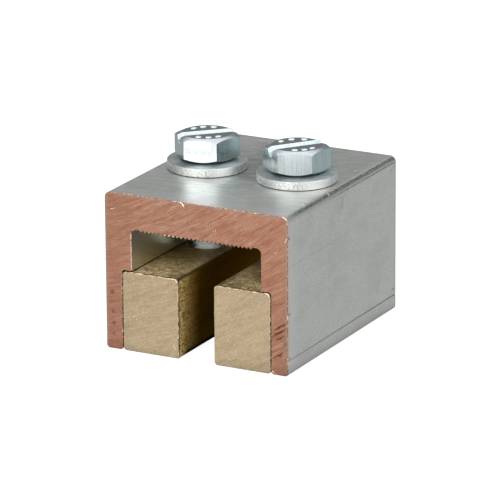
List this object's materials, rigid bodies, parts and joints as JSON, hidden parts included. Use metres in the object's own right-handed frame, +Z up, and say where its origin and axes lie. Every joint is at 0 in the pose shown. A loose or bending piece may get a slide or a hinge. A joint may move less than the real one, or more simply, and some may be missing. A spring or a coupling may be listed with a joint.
{
  "type": "busbar connector",
  "caption": "Tinned copper channel that joins T-profile busbars end to end, with brass clamp bars drawn up by slotted hexagon bolts over spring washers.",
  "frame": {"origin": "centre of the base, level with the feet of the channel", "axes": "+Z up through the bolts' heads, +Y along the busbar with the front end at -Y, +X across it to the right"},
  "size_m": [0.045, 0.053, 0.0441],
  "materials": {
    "tinned_copper": "satin tin plating on copper, with bare sawn ends",
    "brass": "mill finish with sawn ends",
    "washer_zinc": "satin zinc plating on spring steel",
    "bolt_zinc": "bright blue-white zinc plating on steel"
  },
  "bodies": {
    "channel": {"channel": "tinned_copper", "spring_washer_left": "washer_zinc", "spring_washer_right": "washer_zinc"},
    "clamp_bar_left": {"clamp_bar_left": "brass"},
    "clamp_bar_right": {"clamp_bar_right": "brass"},
    "bolt_left": {"bolt_left": "bolt_zinc"},
    "bolt_right": {"bolt_right": "bolt_zinc"}
  },
  "joints": [
    {"name": "bolt_left_turn", "type": "hinge", "parent": "channel", "child": "bolt_left", "pos_m": [-0.0112, 0, 0.036], "axis": [0, 0, 1], "range_deg": [0, 1728]},
    {"name": "bolt_right_turn", "type": "hinge", "parent": "channel", "child": "bolt_right", "pos_m": [0.0112, 0, 0.036], "axis": [0, 0, 1], "range_deg": [0, 1728]},
    {"name": "clamp_bar_left_drop", "type": "slide", "parent": "channel", "child": "clamp_bar_left", "axis": [0, 0, -1], "range_m": [0, 0.006]},
    {"name": "clamp_bar_right_drop", "type": "slide", "parent": "channel", "child": "clamp_bar_right", "axis": [0, 0, -1], "range_m": [0, 0.006]}
  ],
  "couplings": [
    {"joint": "bolt_left_turn", "follows": "clamp_bar_left_drop", "rad_per_m": 5026.5},
    {"joint": "bolt_right_turn", "follows": "clamp_bar_right_drop", "rad_per_m": 5026.5}
  ]
}
